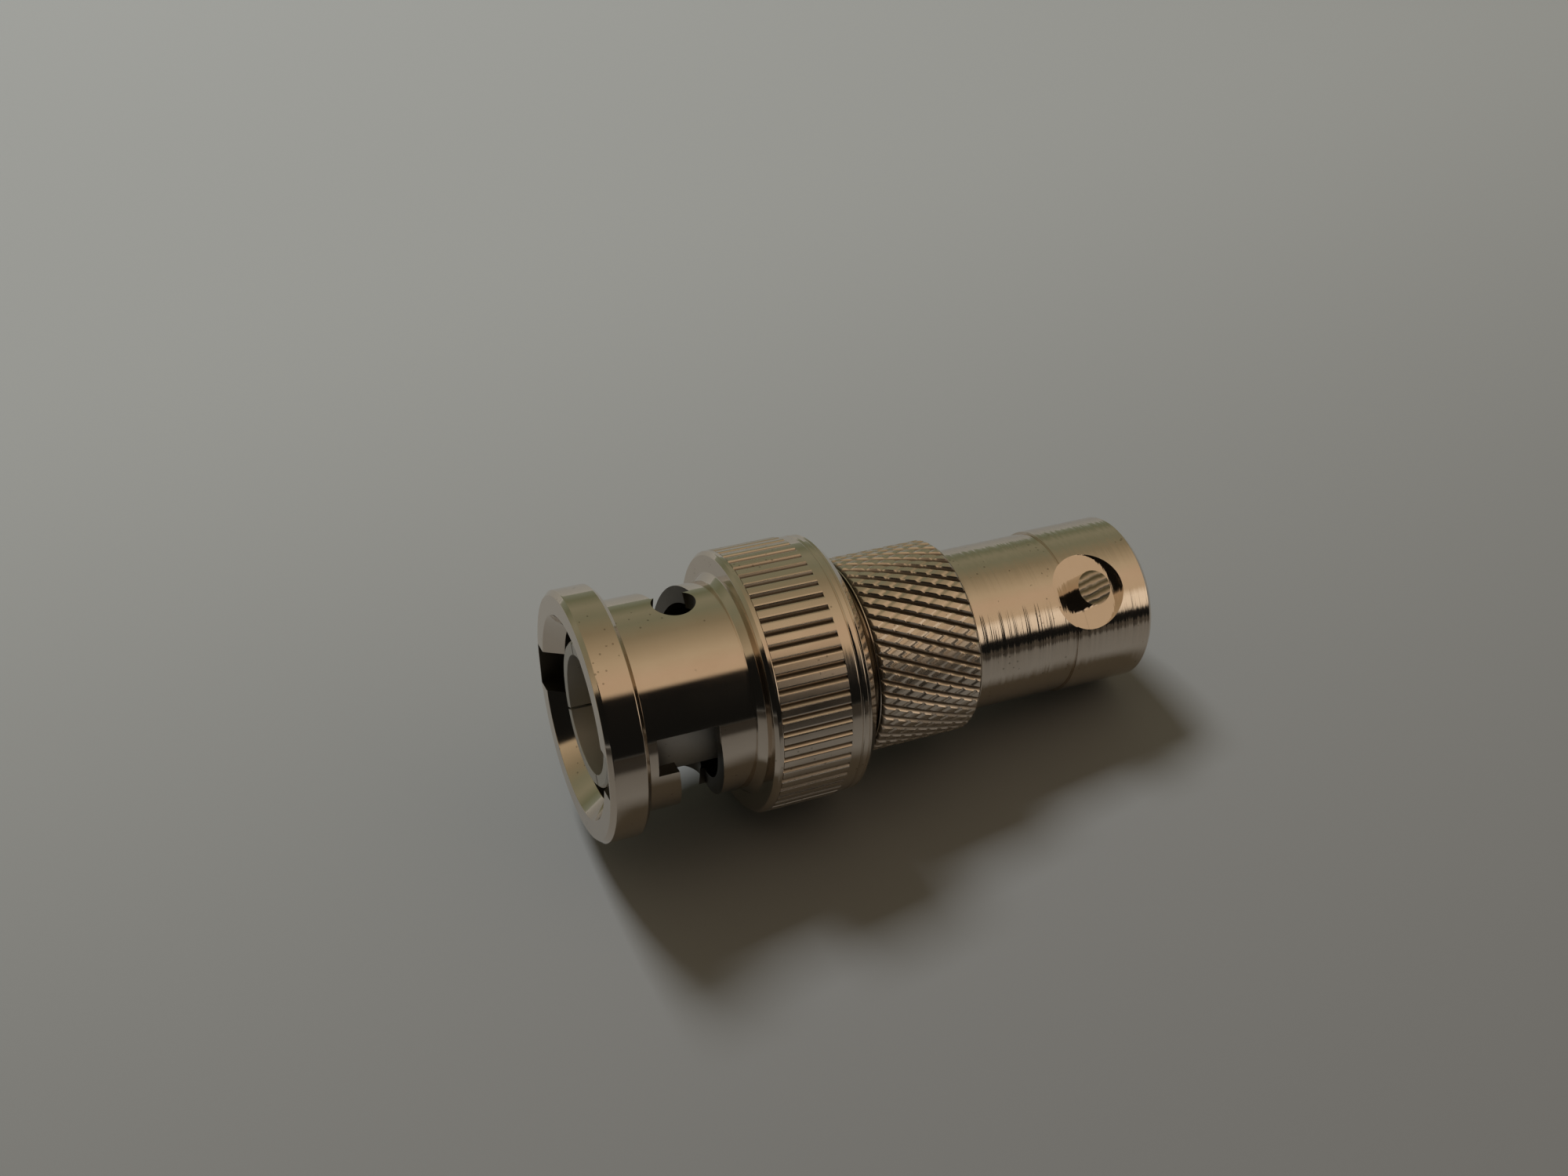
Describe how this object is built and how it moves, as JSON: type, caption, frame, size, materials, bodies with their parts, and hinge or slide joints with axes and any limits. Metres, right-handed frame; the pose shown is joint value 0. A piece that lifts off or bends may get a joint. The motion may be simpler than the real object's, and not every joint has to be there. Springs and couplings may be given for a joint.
{
  "type": "bnc male to female adapter",
  "caption": "Nickel-plated coaxial adapter: a bayonet plug with a knurled coupling ring at one end, a lugged jack at the other, joined by a knurled grip.",
  "frame": {"origin": "centre of the coupling ring's front rim, on the axis, where the adapter stands", "axes": "+Z along the axis from the male end to the female end; the female end's two lugs point along +X and -X"},
  "size_m": [0.0148, 0.0148, 0.0336],
  "materials": {
    "plated_ring": "bright nickel plate over turned brass",
    "plated_body": "bright nickel plate over turned brass",
    "plated_sleeve": "bright nickel plate over turned brass",
    "gasket_rubber": "matte",
    "washer_steel": "satin",
    "insulator_white": "matte white fluoropolymer",
    "contact_gold": "thin gold plate"
  },
  "bodies": {
    "adapter": {"adapter_body": "plated_body", "plug_sleeve": "plated_sleeve", "gasket": "gasket_rubber", "plug_insulator": "insulator_white", "jack_insulator": "insulator_white", "centre_contact": "contact_gold"},
    "spring_seat": {"thrust_washer": "washer_steel", "wave_washer": "washer_steel"},
    "coupling": {"coupling_ring": "plated_ring"}
  },
  "joints": [
    {"name": "ring_pull", "type": "slide", "parent": "adapter", "child": "spring_seat", "axis": [0, 0, -1], "range_m": [0, 0.0006], "stiffness_N_per_m": 5000, "springref_m": -0.0006, "deforming": ["wave_washer"]},
    {"name": "ring_turn", "type": "hinge", "parent": "spring_seat", "child": "coupling", "pos_m": [0, 0, 0.0074], "axis": [0, 0, 1], "continuous": true}
  ]
}
